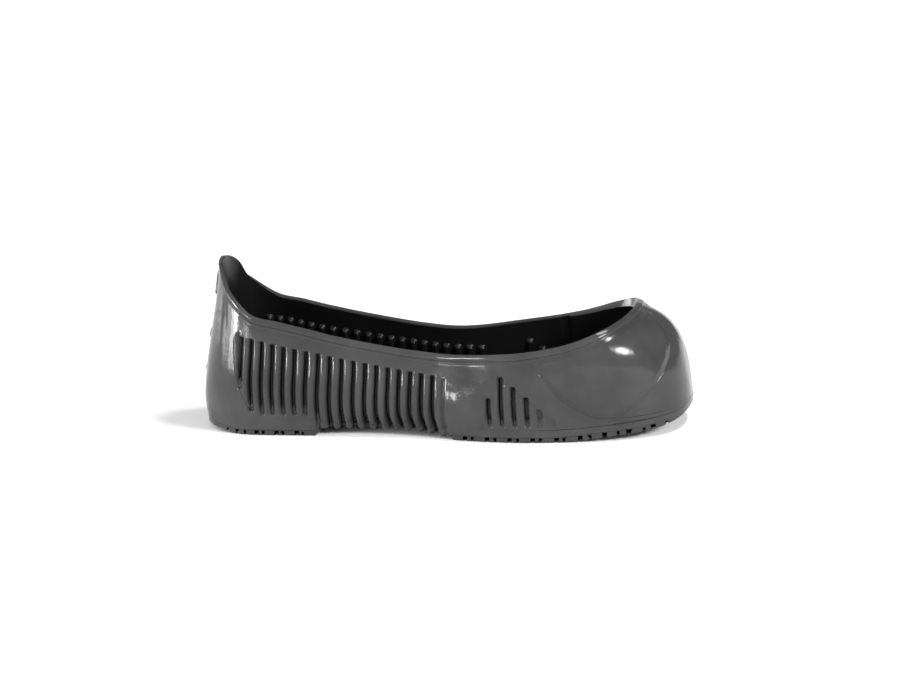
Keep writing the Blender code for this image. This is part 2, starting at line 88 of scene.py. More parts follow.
# Where the mesh rows of the plain wall end below the collar, and the rise of the collar's rounded top.
BAND_DOWN, CROWN = 7.0, 0.45
CROWN_ANGLES = (12, 30, 52, 90, 128, 150, 168)

# Grooves of the bellows and of the forefoot. "at": their stations. "count": how many of them are on the
# outer (-1) and the inner (1) side. "deep": depth. "ridge": crown of the ridges. "core" and "reach": half
# widths of the floor and of a whole groove with half its ridges. "round": how far inside its ends the
# rounding starts. "sharp": how short the round ends are. "bump": height of the bump inside. "fade":
# stations, and how much of the depth a groove there has.
BELLOWS = {
    "at": (-117.9, -111.5, -104.9, -98.3, -91.5, -84.6, -77.6, -70.2, -62.8, -55.4, -48.0, -40.8, -33.7,
           -26.5, -19.6, -12.6, -5.7, 1.2, 8.2, 15.2),
    "count": {-1: 18, 1: 20}, "deep": 4.0, "ridge": 0.5, "core": 0.8, "reach": 3.45, "round": 1.5,
    "sharp": 1.8, "bump": 3.0, "fade": ((0, 1), (1, 1)),
}
FORE = {
    "at": (36.7, 44.3, 51.9, 59.6, 67.2, 74.8), "count": {-1: 6, 1: 6}, "deep": 3.8, "ridge": 0.0,
    "core": 0.95, "reach": 3.3, "round": 1.6, "sharp": 1.2, "bump": 2.6,
    "fade": ((59.6, 67.2, 74.8), (1, 0.5, 0.35)),
}
# Cross-section of a ridge: power of its round, and how far from a groove's middle its crown reaches.
RIDGE_POWER, RIDGE_REACH = 2.0, 3.9
# A point counts as in a groove, and gets painted shade, beyond this share of the bellows' depth.
GROOVE_SHADE_FROM = 0.3
# The bumps inside: half width, and how much higher they reach than the grooves.
BUMP_REACH = 2.3
BUMP_LIFT = {"s": (-120, -60, 0, 40), "mm": (-0.6, -0.2, 0.8, 0.6)}
# The forefoot grooves stand in a shallow field with a peaked outline: its upper edge by station.
FIELD = {"s": (30.7, 34.4, 38.4, 41.2, 43.9, 48.5, 54.0, 60.4, 67.7, 74.3, 79.0),
         "z": (9.0, 19.0, 28.5, 37.5, 43.0, 38.5, 33.5, 28.0, 21.0, 13.5, 9.0)}
# Shallow groove after the last ridge of the outer side: station, half width, depth, lower and upper end.
LAST_LINE = {"s": 8.4, "half": 1.7, "deep": 1.7, "low": 0.0, "high": 38.0}
# Left edge of the bellows: its station at each height. FLANK is the face that slopes from there into the
# first groove: the power of its curve, where it starts and over what height it deepens, and the foot and
# the height of the arch that ends it.
LEFT_EDGE = {"z": (29.0, 33.0, 42.4, 52.0, 59.0, 61.5, 63.0, 64.0),
             "s": (-117.0, -118.3, -120.6, -121.7, -122.0, -121.7, -121.0, -119.8)}
FLANK = {"power": 1.8, "low": 29.0, "over": 10.0, "arch": 58.5, "arch_high": 4.4}
# Line from the foot of the second groove past the foot of the first and up the left edge of the bellows:
# its station at each height, and where it starts and ends, each with the length of its fade.
SLANT = {"z": (12.0, 13.5, 18.0, 24.0, 30.0, 34.0, 42.4, 52.0, 62.0, 70.0),
         "s": (-110.4, -111.3, -113.2, -115.4, -117.5, -118.6, -120.8, -121.9, -122.2, -122.2)}
SLANT_IN, SLANT_OUT = (12.5, 1.5), (62.0, 6.0)
# The bellows grooves lean: their lower ends lie further back than their tops, over this height.
LEAN = {"s": (-135, -119, -20, 0, 20), "back": (0, 2, 2, 1.2, 0)}
LEAN_HEIGHT = 34.0

# Mesh columns beside a groove's middle, on the outer (-1) and the inner (1) side, and mesh rows above the
# foot, at the lower and upper groove ends, and inside at the upper ends; how far apart plain columns are.
BESIDE_GROOVE = {-1: (0.8, 0.87, 0.97, 1.13, 1.4, 1.8, 2.45), 1: (0.8, 1.2, 1.7, 2.1, 2.4)}
AT_FOOT = (0.35, 0.8)
AT_LOW_END = (1.5, 0.9, 0.4, -0.1, -0.7, -1.4, -2.2)
AT_HIGH_END = (4.6, 3.4, 2.6, 2, 1.5, 1, 0.6, 0.2, -0.2, -0.6, -1, -1.5)
INSIDE_HIGH_END = (-1.8, -1.1, -0.5, 0, 0.5, 1.1, 1.8, 2.6)
PLAIN_APART = 1.6

# Heights of the lower and upper groove ends, by x. A low end of -20 runs off the wall's foot. Past the
# grooves they only space the mesh rows.
GROOVE_ENDS = {
    "x": (-158, -128, -124, -118, -111, -104, -91, -77, -71, -66, -20, 2, 18, 24, 36.7, 44.3, 51.9, 59.6,
          67.2, 74.8, 84, 100, 150),
    "low": (21, 24, 27, 29.3, 13.8, 12.4, 12.2, 12.2, 10, -20, -20, -20, -20, 9.2, 9.2, 9.2, 9.2, 9.2, 9.2,
            9.2, 14, 18, 25),
    "high": (82, 68, 63, 61.6, 60.4, 59.1, 56, 53.2, 52.2, 51.2, 43, 39.7, 38, 36, 27.9, 40.7, 35, 28.6,
             21.3, 15.4, 42, 52, 61),
}

# Toe panel: a shallow leaf-shaped recess on each side of the toe. Its lower edge by station, how far below
# the collar's edge it ends, and the length over which its line comes in.
PANEL = {
    "s": (61.5, 64, 69, 75, 82, 86.4, 90.8, 94.5, 98, 101, 105.3, 111.5, 118.5, 125.3, 130.6, 136, 141,
          146),
    "low": (56.5, 50.5, 41.5, 33.0, 25.1, 19.8, 16.1, 14.6, 14.2, 14.9, 19.6, 26.3, 33.7, 40.8, 47.0,
            54.2, 63, 72),
}
PANEL_BELOW_RIM, PANEL_LINE_FADE = 5.4, 5.0

# Band above the sole round the toe: its upper edge, and the station where its lines start.
FOXING = {"s": (92, 97, 100.2, 104, 110.6, 118, 127.3, 137, 147, 150),
          "z": (10.4, 12.2, 13.4, 14.0, 14.4, 14.8, 15.6, 16.2, 16.8, 16.9)}
FOXING_FROM = 96.0

# Steps of the wall at the edges of panel, forefoot field and band. "high": height. "before" and "over":
# how far outside the edge a step starts, and how wide it is. "from" and "fade": the station where it
# starts along the shoe, and the length over which it comes in. The field's is full all along.
STEPS = {
    "panel": {"high": -0.5, "before": 0.6, "over": 3.8, "from": 63.5, "fade": 8.0},
    "field": {"high": 0.35, "before": 0.3, "over": 2.8, "from": -200.0, "fade": 1.0},
    "fox": {"high": 0.3, "before": 0.8, "over": 1.8, "from": 92.0, "fade": 8.0},
}

# Parting line at the foot of the wall, shown at the heel and round the toe: its depth by station.
PART_LINE = {"s": (-150, -142, 84, 100), "deep": (0.35, 0.0, 0.0, 0.35)}

# Plain raised marks down the back of the heel: from z, to z, half width, how proud.
HEEL_MARKS = ((82.5, 97.0, 13.0, 1.1), (55.0, 61.5, 8.0, 0.9), (35.5, 39.0, 8.0, 0.7))

# Wall thickness by station, with a hollow before the step into the toe box.
THICK = {"s": (-158, 64, 66, 69, 71, 150), "mm": (2.4, 2.4, 1.8, 1.8, 3.6, 3.6)}

# Sole: how far its plug rises into the upper, tread height, where the two treads end.
PLUG, TREAD = 1.6, 3.0
HEEL_FRONT, FORE_BACK = (-72.5, -68.0), (10.2, 12.7)
# Ends of the line along the middle of the sole, and the height of the underside's edge by x, in the arch
# and under the two treads.
HEEL_SPINE, TOE_SPINE = -112.0, 108.0
ARCH = {"x": (-72, -55, -38, -20, -8, 2, 14), "z": (4.5, 4.5, 4.0, 3.4, 2.6, 1.9, 1.2)}
SPRING = {
    "x": (-152, -143, -138, -132, -122, -100, 70, 80, 96, 106, 116, 126, 135, 141, 145, 148, 150.5, 152),
    "z": (3.4, 2.7, 2.1, 1.2, 0.0, 0.0, 0.0, 0.3, 1.8, 2.8, 3.5, 4.3, 5.4, 6.6, 7.8, 9.0, 10.9, 12.0),
}

# Tread: wide channels across, and narrow cuts in the edges of the lugs. A thin wall closes each wide
# channel behind its edge, and at the toe the edges are cut less deep, so that no floor shows through.
# The boxes that cut them reach past the edge and below the tread.
WIDE, NARROW, NARROW_DEEP, NARROW_REACH = 2.8, 1.5, 2.4, 9.0
EDGE_DEEP, EDGE_DEEP_TOE, TOE_CUTS_FROM, EDGE_WALL = 12.0, 4.5, 90.0, 4.0
PAST_EDGE, BELOW_TREAD = 75.0, -2.0
WIDE_CUTS = (-123.6, -111.2, -98.6, -85.7, 20.6, 34.5, 48.4, 62.3, 76.4, 90.5, 104.7, 118.5, 132.2)
NARROW_CUTS = (-130.8, -118.9, -107.1, -94.3, -81.9, 25.3, 39.5, 53.3, 66.5, 80.9, 96.5, 112.7, 127.1, 139.5)

# Softboxes: name, azimuth and elevation from the shoe in degrees, distance, width, height, watts.
LIGHTS = (("side", -43, 1.4, 2.0, 0.24, 0.05, 6), ("strip", -62, 3, 2.0, 0.16, 0.26, 20),
          ("ridges", -71, 3, 2.0, 0.2, 0.3, 6), ("heel", -81, 3, 2.0, 0.3, 0.5, 5),
          ("fill", -116, 5, 2.0, 1.4, 1.2, 34), ("right", 62, 26, 2.0, 0.52, 0.38, 42),
          ("top", 81, 68, 2.0, 0.3, 0.3, 18))

# Rubber: base colours, with the painted shade of the upper's inside and grooves and of the tread's channels,
# roughness of upper, sole, grooves and channels, and the refractive index.
UPPER_GREY, SOLE_GREY = (0.033, 0.033, 0.0335), (0.03, 0.03, 0.0305)
# Painted shade: near-black for the upper's inside and deep grooves, and for the tread's channels, whose dust
# tone is a little lighter.
INSIDE_SHADE_BLACK, CHANNEL_SHADE_BLACK, CHANNEL_SHADE_DUST = (0.004,) * 3, (0.003,) * 3, (0.008,) * 3
UPPER_ROUGH, SOLE_ROUGH, HOLLOW_ROUGH, CHANNEL_ROUGH = 0.12, 0.3, 0.34, 0.9
RUBBER_IOR = 1.33
# Noise, as (scale, detail): clouds of wear, ripple, grain, and dust over the painted shade in the channels.
CLOUDS, RIPPLE, GRAIN, DUST = (38, 5), (95, 2), (1500, 3), (300, 3)
# Fine lines of the upper, by its marks, with heights in millimetres. A slope says where it starts and
# ends, and its heights there. A step says where it starts and ends, and its height. A line says its
# middle, half width and height.
PANEL_SLOPE, PANEL_LINE = (2.8, 0.0, 0.0, 1.3), (-0.2, 0.6, 0.2)
FIELD_SLOPE, SLANT_LINE = (0.0, 2.4, 0.0, 1.0), (0.0, 0.8, 0.5)
FOXING_STEPS = ((0.35, -0.25, 0.7), (-2.2, -2.8, 0.6))

# Floor: half its side, its grey and roughness, and its glow: where that starts and where it is full, in
# metres from the shoe, and its strength at both.
FLOOR_HALF, FLOOR_GREY, FLOOR_ROUGH = 6.0, 0.92, 0.9
FLOOR_GLOW = (0.8, 2.6, 0.0, 0.4)

# Light of the world, and the darker part of it that the toe's far side reflects: azimuth and elevation
# of its middle, and the cosines of the angles from there where it starts and where it is darkest.
SKY, SKY_DARK = 0.92, 0.15
DARK_SIDE, DARK_FROM, DARK_FULL = (126, 34), 0.25, 0.8

# Distances from lines and edges are cut off here, and each mark's value away from the outer face.
FAR = 9.0
# Two of the marks paint shade: the inside, and the deeper parts of the grooves.
MARKS = {"inside": 0.0, "groove_shade": 0.0, "panel": -FAR, "field": -FAR, "fox": FAR, "slant": FAR,
         "slant_share": 0.0, "panel_share": 0.0}


def smooth(xs, ys, x):
    """Cubic through a table, with the slopes of its neighbours (no overshoot where it turns)."""
    xs, ys = np.asarray(xs, float), np.asarray(ys, float)
    steps = np.diff(ys) / np.diff(xs)
    inner = np.where(steps[:-1] * steps[1:] > 0, (steps[:-1] + steps[1:]) / 2, 0.0)
    limit = 3 * np.minimum(abs(steps[:-1]), abs(steps[1:]))
    slopes = np.concatenate([[steps[0]], np.clip(inner, -limit, limit), [steps[-1]]])
    x = np.clip(x, xs[0], xs[-1])
    i = np.clip(np.searchsorted(xs, x, side="right") - 1, 0, len(xs) - 2)
    width = xs[i + 1] - xs[i]
    t = (x - xs[i]) / width
    return (ys[i] * (1 + 2 * t) * (1 - t) ** 2 + ys[i + 1] * t**2 * (3 - 2 * t)
            + width * t * (1 - t) * (slopes[i] * (1 - t) - slopes[i + 1] * t))


def wall(column, s):
    """A column of the wall's table at the stations s."""
    return smooth(WALL["s"], WALL[column], s)


def half_width(line, x):
    """Half width of an outline, "sole" or "rim", at x, before the toe's swing."""
    heel = np.clip((HEEL_ARC["start"] - x) / HEEL_ARC[line], 0, 1) ** HEEL_ARC["power"]
    toe = np.clip((x - TOE_ARC["start"]) / TOE_ARC[line], 0, 1) ** TOE_ARC["power"]
    y = smooth(PLAN["x"], PLAN[line], x)
    return y * (1 - heel) ** (1 / HEEL_ARC["power"]) * (1 - toe) ** (1 / TOE_ARC["power"])


def fan(line, arc, sign, plane, part):
    """Points of an end arc: part 0 is the plane x = plane, and part 1 the middle of the end."""
    across = half_width(line, arc["start"])
    first = np.arctan2(half_width(line, plane) / across, abs(plane - arc["start"]) / arc[line])
    angle = first * (1 - part)
    power = arc["power"]
    radius = (np.cos(angle) ** power + np.sin(angle) ** power) ** (-1 / power)
    return arc["start"] + sign * arc[line] * radius * np.cos(angle), across * radius * np.sin(angle)


def outline(line, s):
    """(x, half width) of an outline at the stations s."""
    s = np.asarray(s, float)
    heel = fan(line, HEEL_ARC, -1, HEEL_PLANE, np.clip((HEEL_PLANE - s) / (HEEL_PLANE - HEEL_S), 0, 1))
    toe = fan(line, TOE_ARC, 1, TOE_PLANE, np.clip((s - TOE_PLANE) / (TOE_S - TOE_PLANE), 0, 1))
    x = np.where(s < HEEL_PLANE, heel[0], np.where(s > TOE_PLANE, toe[0], s))
    y = np.where(s < HEEL_PLANE, heel[1], np.where(s > TOE_PLANE, toe[1], half_width(line, s)))
    return x, y


def outward(line, s, step=0.05):
    """The plan direction square to an outline, pointing out of the half at y > 0."""
    ahead, behind = outline(line, np.minimum(s + step, TOE_S)), outline(line, np.maximum(s - step, HEEL_S))
    along = np.stack([ahead[0] - behind[0], ahead[1] - behind[1]], -1)
    along /= np.linalg.norm(along, axis=-1, keepdims=True)
    return np.stack([-along[:, 1], along[:, 0]], -1)


def wall_surface(s, side, v):
    """Smooth outer wall without its details: rows v from 0 at the sole to 1 at the collar."""
    sole_x, sole_y = outline("sole", s)
    rim_x, rim_y = outline("rim", s)
    out = outward("sole", s)
    inset = wall("part_in", s)
    foot = np.stack([sole_x - out[:, 0] * inset, sole_y - out[:, 1] * inset, wall("part_z", s)], -1)
    rim = np.stack([rim_x, rim_y, wall("rim_z", s)], -1)
    lift = np.zeros((len(s), 3))
    low, high = lift.copy(), lift.copy()
    low[:, :2], low[:, 2] = out * wall("foot_out", s)[:, None], wall("foot_up", s)
    high[:, :2], high[:, 2] = out * wall("rim_out", s)[:, None], -wall("rim_down", s)
    v = np.asarray(v, float)
    v = (v if v.ndim == 2 else np.broadcast_to(v, (len(s), len(v))))[..., None]
    points = (foot[:, None] * (1 - v) ** 3 + (foot + low)[:, None] * 3 * v * (1 - v) ** 2
              + (rim + high)[:, None] * 3 * v**2 * (1 - v) + rim[:, None] * v**3)
    points[..., 1] *= side[:, None]
    points[..., 1] += smooth(SWING["x"], SWING["y"], points[..., 0])
    top = smooth(GROOVE_ENDS["x"], GROOVE_ENDS["high"], s)[:, None]
    below = np.clip((top - points[..., 2]) / LEAN_HEIGHT, 0, 1)
    points[..., 0] -= smooth(LEAN["s"], LEAN["back"], s)[:, None] * below**2 * (3 - 2 * below)
    return points


def square_to(s, side, v):
    """Unit directions square to the smooth wall, pointing out of the shoe."""
    ds, dv = 0.05, 0.004
    ahead = wall_surface(np.minimum(s + ds, TOE_S), side, v)
    along = ahead - wall_surface(np.maximum(s - ds, HEEL_S), side, v)
    up = wall_surface(s, side, np.minimum(v + dv, 1)) - wall_surface(s, side, np.maximum(v - dv, 0))
    normal = np.cross(along, up) * -side[:, None, None]
    normal[(s <= HEEL_S) | (s >= TOE_S), :, 1] = 0
    return normal / np.linalg.norm(normal, axis=-1, keepdims=True)


def nearest(group, s, side):
    """The middle of the group's groove nearest to each station."""
    at = np.array(group["at"][:group["count"][side]])
    return at[abs(np.asarray(s)[:, None] - at).argmin(axis=1)]


def ease(x):
    """Smooth step from 0 to 1."""
    x = np.clip(x, 0, 1)
    return x * x * (3 - 2 * x)


def profile(s, side):
    """Fine samples of each column from foot to collar: v, height, and distance down from the collar."""
    v = np.linspace(0, 1, 161)
    points = wall_surface(s, side, v)
    steps = np.linalg.norm(np.diff(points, axis=1), axis=-1)
    down = np.concatenate([np.cumsum(steps[:, ::-1], axis=1)[:, ::-1], np.zeros((len(s), 1))], axis=1)
    return v, points[..., 2], down


def levelled(s, side, flat=2.1, half=3.55):
    """Stations held at the groove's middle across each groove, so that the mesh rows are level there."""
    for group in (BELLOWS, FORE):
        middle = nearest(group, s, side)
        off = s - middle
        held = middle + np.sign(off) * np.maximum(abs(off) - flat, 0) / (half - flat) * half
        s = np.where(abs(off) <= half, held, s)
    return s


def stations(side):
    """Columns of one side: close together across the grooves, and plain ones between."""
    offsets = np.array(BESIDE_GROOVE[side])
    marks = [np.linspace(HEEL_S, HEEL_PLANE, 37), np.linspace(HEEL_PLANE, -121.4, 15)[1:-1]]
    for group in (BELLOWS, FORE):
        at = np.array(group["at"][:group["count"][side]])
        crowns = np.concatenate([[at[0] - 3.5], (at[1:] + at[:-1]) / 2, [at[-1] + 3.5]])
        beside = [*(at[:, None] + offsets).T, *(at[:, None] - offsets).T]
        marks.append(np.sort(np.concatenate([*beside, crowns])))
    start, end = marks[2][-1], marks[3][0]
    plain = np.arange(start + PLAIN_APART, end - PLAIN_APART / 2, PLAIN_APART)
    if side < 0:
        plain = np.concatenate([LAST_LINE["s"] + np.linspace(-2, 2, 9), plain[plain > LAST_LINE["s"] + 2.6]])
    marks.insert(3, plain)
    marks.append(np.linspace(TOE_PLANE, TOE_S, 68))
    return np.concatenate(marks)


def between(start, end, count):
    """Evenly spaced columns of distances from one column to another, without its end."""
    share = np.linspace(0, 1, count, endpoint=False)
    return start[:, None] * (1 - share) + end[:, None] * share


def anchors(s, side):
    """Distances down the wall of the foot, and of the lower and upper ends of the grooves."""
    _, height, down = profile(s, np.full(len(s), float(side)))
    at = levelled(s, side)
    low = np.maximum(smooth(GROOVE_ENDS["x"], GROOVE_ENDS["low"], at), wall("part_z", s) + 3.6)
    high = np.maximum(smooth(GROOVE_ENDS["x"], GROOVE_ENDS["high"], at), low + 3)
    find = [[np.interp(z, height[i], down[i]) for z in (low[i], high[i])] for i in range(len(s))]
    return down[:, 0], *np.array(find).T


def outer_downs(s, side):
    """Distances down the wall of the outer face's rows: close together at the ends of the grooves."""
    foot, low, high = anchors(s, side)
    near_foot = foot[:, None] - np.array(AT_FOOT)
    near_low = low[:, None] + np.array(AT_LOW_END)
    near_high = high[:, None] + np.array(AT_HIGH_END)
    plain = [between(foot - 1.3, low + 2.2, 4), between(low - 3, high + 6, 17),
             between(high - 2.1, np.full(len(s), BAND_DOWN), 12)]
    rows = np.concatenate([near_foot, near_low, near_high, *plain, between(low + 2.2, low, 1),
                           between(high + 6, high, 1), np.full((len(s), 1), BAND_DOWN)], axis=1)
    rows = np.clip(rows, BAND_DOWN, foot[:, None] - 0.35)
    bead = np.broadcast_to([down for down, _ in BEAD], (len(s), len(BEAD)))
    return np.concatenate([foot[:, None], -np.sort(-rows, axis=1), bead], axis=1)


def inner_downs(s, side):
    """Distances down the wall of the inner face's rows."""
    foot, low, high = anchors(s, side)
    near_high = high[:, None] + np.array(INSIDE_HIGH_END)
    plain = [between(np.full(len(s), 1.8), high - 3, 4), between(high + 4, foot - 2, 8)]
    rows = np.clip(np.concatenate([near_high, *plain], axis=1), 1.6, foot[:, None] - 1)
    return np.concatenate([np.full((len(s), 1), 0.8), np.sort(rows, axis=1), foot[:, None]], axis=1)


def v_of(s, sides, downs):
    """Places on the wall's curve, from 0 to 1, at distances down from the collar."""
    v, _, down = profile(s, sides)
    return np.array([np.interp(-downs[i], -down[i], v) for i in range(len(s))])


def groove_moves(s, z, side):
    """How far the wall's outer and inner faces move at stations s and heights z, out is positive, and
    how deep in a groove each point lies, from 0 to 1, which becomes the grooves' painted shade."""
    outer, inner, dark = np.zeros_like(z), np.zeros_like(z), np.zeros_like(z)
    for group in (BELLOWS, FORE):
        middle = nearest(group, s, side)
        low = smooth(GROOVE_ENDS["x"], GROOVE_ENDS["low"], middle)[:, None] + group["round"]
        high = smooth(GROOVE_ENDS["x"], GROOVE_ENDS["high"], middle)[:, None] - group["round"]
        off = (s - middle)[:, None]
        beyond = group["sharp"] * (np.maximum(z - high, 0) + np.maximum(low - z, 0))
        reach = np.hypot(off, beyond)
        core = group["core"] * (1 - 0.5 * ease((low + 7 - z) / 8))
        part = np.clip((reach - core) / (group["reach"] - core), 0, 1)
        rise = (1 - (1 - part) ** RIDGE_POWER) ** (1 / RIDGE_POWER)
        rise = 1 - (1 - rise) * np.interp(middle, *group["fade"])[:, None]
        outer -= group["deep"] * (1 - rise)
        dark = np.maximum(dark, 1 - rise)
        span = ease((high + 1.5 - z) / 4) * ease((z - low + 1.5) / 4)
        outer += group["ridge"] * span * (abs(off) < RIDGE_REACH) * ease((abs(off) - 1.2) / 2.2)
        lift = smooth(BUMP_LIFT["s"], BUMP_LIFT["mm"], middle)[:, None]
        behind = np.hypot(off, 1.2 * (np.maximum(z - high - lift, 0) + np.maximum(low - z, 0)))
        inner -= group["bump"] * np.sqrt(1 - np.clip(behind / BUMP_REACH, 0, 1) ** 2)
    return outer, inner, dark


def left_flank(s, z, outer):
    """The wide sloping face that leads into the first groove, up to the edge of the bellows."""
    edge = smooth(LEFT_EDGE["z"], LEFT_EDGE["s"], z)
    first = BELLOWS["at"][0] - BELLOWS["core"]
    into = np.clip((s[:, None] - edge) / np.maximum(first - edge, 0.3), 0, 1)
    arch = np.sqrt(1 - np.clip((z - FLANK["arch"] - 1.2 * into) / FLANK["arch_high"], 0, 1) ** 2)
    face = -BELLOWS["deep"] * into ** FLANK["power"] * arch * ease((z - FLANK["low"]) / FLANK["over"])
    cut = np.where(s[:, None] < first, face, outer * ease((s[:, None] - edge) / 0.5))
    return np.where(s[:, None] < BELLOWS["at"][0], cut, outer)


def last_line(s, z):
    """The shallow groove between the last ridge of the outer side and the plain wall."""
    across = np.cos(np.clip(abs(s - LAST_LINE["s"]) / LAST_LINE["half"], 0, 1) * np.pi / 2)[:, None]
    along = ease((LAST_LINE["high"] - z) / 1.5) * ease((z - LAST_LINE["low"]) / 8)
    return LAST_LINE["deep"] * across * along


def panel_depth(s, side, points, down):
    """How far inside the toe panel each point lies, up to its edge; negative outside."""
    dense = np.linspace(PANEL["s"][0], PANEL["s"][-1], 400)
    low = smooth(PANEL["s"], PANEL["low"], dense)
    sides = np.full(len(dense), float(side))
    v, height, _ = profile(dense, sides)
    edge_v = np.array([[np.interp(low[i], height[i], v)] for i in range(len(dense))])
    edge = wall_surface(dense, sides, edge_v)[:, 0]
    far = np.full(points.shape[:2], -20.0)
    for i in np.nonzero(s > PANEL["s"][0] - 12)[0]:
        gap = np.linalg.norm(points[i][:, None] - edge[None], axis=-1).min(axis=1)
        above = points[i][:, 2] > smooth(PANEL["s"], PANEL["low"], np.array([s[i]]))
        above &= PANEL["s"][0] < s[i] < PANEL["s"][-1]
        far[i] = -0.5 * np.logaddexp(-2 * np.where(above, gap, -gap), -2 * (down[i] - PANEL_BELOW_RIM))
    return far


def heel_marks(s, z):
    """Height of the plain raised bars down the back of the heel."""
    across = ((s - HEEL_S) * FAN_MM)[:, None]
    out = np.zeros_like(z)
    for low, high, half, proud in HEEL_MARKS:
        inside = np.minimum(np.minimum(z - low, high - z), half - across)
        out = np.maximum(out, proud * ease((inside + 0.4) / 0.9))
    return out


def tread_share(s):
    """1 over the two treads, 0 in the arch between them."""
    heel = 1 - np.clip((s - HEEL_FRONT[0]) / (HEEL_FRONT[1] - HEEL_FRONT[0]), 0, 1)
    return np.maximum(heel, np.clip((s - FORE_BACK[0]) / (FORE_BACK[1] - FORE_BACK[0]), 0, 1))


def underside(s):
    """Height of the sole's underside at its edge."""
    x = outline("sole", s)[0] - smooth(LEAN["s"], LEAN["back"], s)
    tread = tread_share(s)
    return tread * smooth(SPRING["x"], SPRING["z"], x) + (1 - tread) * smooth(ARCH["x"], ARCH["z"], x)


def skirt(s, side, foot, moved):
    """Rows that carry the wall down from its foot over the side of the sole, lowest first."""
    tread = tread_share(s)
    drop = tread * np.maximum(foot[:, 2] - underside(s) - TREAD - 0.2, 0.3)
    drop += (1 - tread) * np.maximum(foot[:, 2] - underside(s) + 0.4, 0.3)
    out = outward("sole", s)
    rows = []
    for share, inset in ((1.0, 1.0), (0.97, 0.45), (0.86, 0.12), (0.6, 0.0), (0.08, 0.0)):
        inset = inset * (0.4 + 1.4 * (1 - tread))
        row = foot + moved
        row[:, 0] -= out[:, 0] * inset
        row[:, 1] -= out[:, 1] * inset * side
        row[:, 2] -= drop * share
        rows.append(row)
    return np.stack(rows, axis=1)


def field_depth(s, z):
    """How far inside the field of the forefoot grooves each point lies; negative outside."""
    top = smooth(FIELD["s"], FIELD["z"], s)
    lean = smooth(FIELD["s"], FIELD["z"], s + 0.5) - smooth(FIELD["s"], FIELD["z"], s - 0.5)
    under_top = (top[:, None] - z) / np.hypot(1, lean)[:, None]
    return np.minimum(under_top, np.minimum(s - FIELD["s"][0] + 1, FIELD["s"][-1] - s)[:, None])


def stepped(name, depth, s):
    """The wall's step at the edge of one of its fields, at each point's depth inside it."""
    step = STEPS[name]
    along = ease((s - step["from"]) / step["fade"])[:, None]
    return step["high"] * ease((depth + step["before"]) / step["over"]) * along


def outer_details(s, side, outer, down):
    """How far the outer face moves out, and the marks that its material reads."""
    z = outer[..., 2]
    near = float(side < 0)
    move, _, groove_shade = groove_moves(s, z, side)
    move = left_flank(s, z, move) - near * last_line(s, z) + heel_marks(s, z)
    # Painted shade in the grooves: only points deeper than a share of the bellows' depth are darkened.
    groove_shade *= move < -GROOVE_SHADE_FROM * BELLOWS["deep"]
    panel, field = panel_depth(s, side, outer, down), field_depth(s, z)
    fox = z - smooth(FOXING["s"], FOXING["z"], s)[:, None]
    move += stepped("panel", panel, s) + near * stepped("field", field, s) + stepped("fox", -fox, s)
    move[:, 0] -= smooth(PART_LINE["s"], PART_LINE["deep"], s)
    share = smooth(BEAD_SHARE["s"], BEAD_SHARE["of"], s)[:, None]
    move[:, -len(BEAD):] = share * [out for _, out in BEAD]
    slant_share = ease((z - SLANT_IN[0]) / SLANT_IN[1]) * ease((SLANT_OUT[0] - z) / SLANT_OUT[1])
    return move, {
        "groove_shade": groove_shade,
        "panel": np.clip(panel, -FAR, FAR),
        "panel_share": ease((s - STEPS["panel"]["from"]) / PANEL_LINE_FADE)[:, None],
        "field": np.clip(field, -FAR, FAR) if side < 0 else -FAR,
        "fox": np.where(s[:, None] > FOXING_FROM, np.clip(fox, -FAR, FAR), FAR),
        "slant": np.clip(s[:, None] - smooth(SLANT["z"], SLANT["s"], z), -FAR, FAR),
        "slant_share": slant_share * near,
    }


def collar_top(outer_edge, inner_edge):
    """Rows of the collar's rounded top, from its outer to its inner edge."""
    angle = np.radians(CROWN_ANGLES)
    middle, half = (outer_edge + inner_edge) / 2, (outer_edge - inner_edge) / 2
    rows = middle + half * (np.sign(np.cos(angle)) * abs(np.cos(angle)) ** 0.5)[None, :, None]
    rows[..., 2] += CROWN * np.sin(angle) ** 0.5
    return rows


def upper_half(side):
    """Columns of the upper's section, up the outer face, over the collar and down the inner face, and
    the marks of their points."""
    s = stations(side)
    sides = np.full(len(s), float(side))
    down_out, down_in = outer_downs(s, side), inner_downs(s, side)
    v_out, v_in = v_of(s, sides, down_out), v_of(s, sides, down_in)
    outer, inner = wall_surface(s, sides, v_out), wall_surface(s, sides, v_in)
    out_move, own_marks = outer_details(s, side, outer, down_out)
    _, in_move, _ = groove_moves(s, inner[..., 2], side)
    thick = smooth(THICK["s"], THICK["mm"], s)[:, None]
    lip = smooth(LIP["s"], LIP["mm"], s)[:, None] * ease((LIP_END - down_in) / LIP_FADE)
    plain_foot = outer[:, 0].copy()
    outer = outer + square_to(s, sides, v_out) * out_move[..., None]
    inner = inner + square_to(s, sides, v_in) * (in_move - thick - lip)[..., None]
    low = skirt(s, side, plain_foot, outer[:, 0] - plain_foot)
    ring = outward("sole", s) * (thick + 0.5 + 3 * (1 - tread_share(s)[:, None]))
    inner[:, -1] = low[:, 0]
    inner[:, -1, 0] -= ring[:, 0]
    inner[:, -1, 1] -= ring[:, 1] * side
    crown = collar_top(outer[:, -1:], inner[:, :1])
    points = np.concatenate([low, outer, crown, inner], axis=1)
    marks = {name: np.full(points.shape[:2], value, np.float32) for name, value in MARKS.items()}
    # Painted shade: the inner face is fully darkened, and the collar's three inner rows half.
    marks["inside"][:, -inner.shape[1]:] = 1
    marks["inside"][:, -inner.shape[1] - 3:-inner.shape[1]] = 0.5
    for name, values in own_marks.items():
        marks[name][:, low.shape[1]:low.shape[1] + outer.shape[1]] = values
    # The painted shade of the grooves runs on down the skirt.
    marks["groove_shade"][:, :low.shape[1]] = own_marks["groove_shade"][:, :1]
    return points, marks


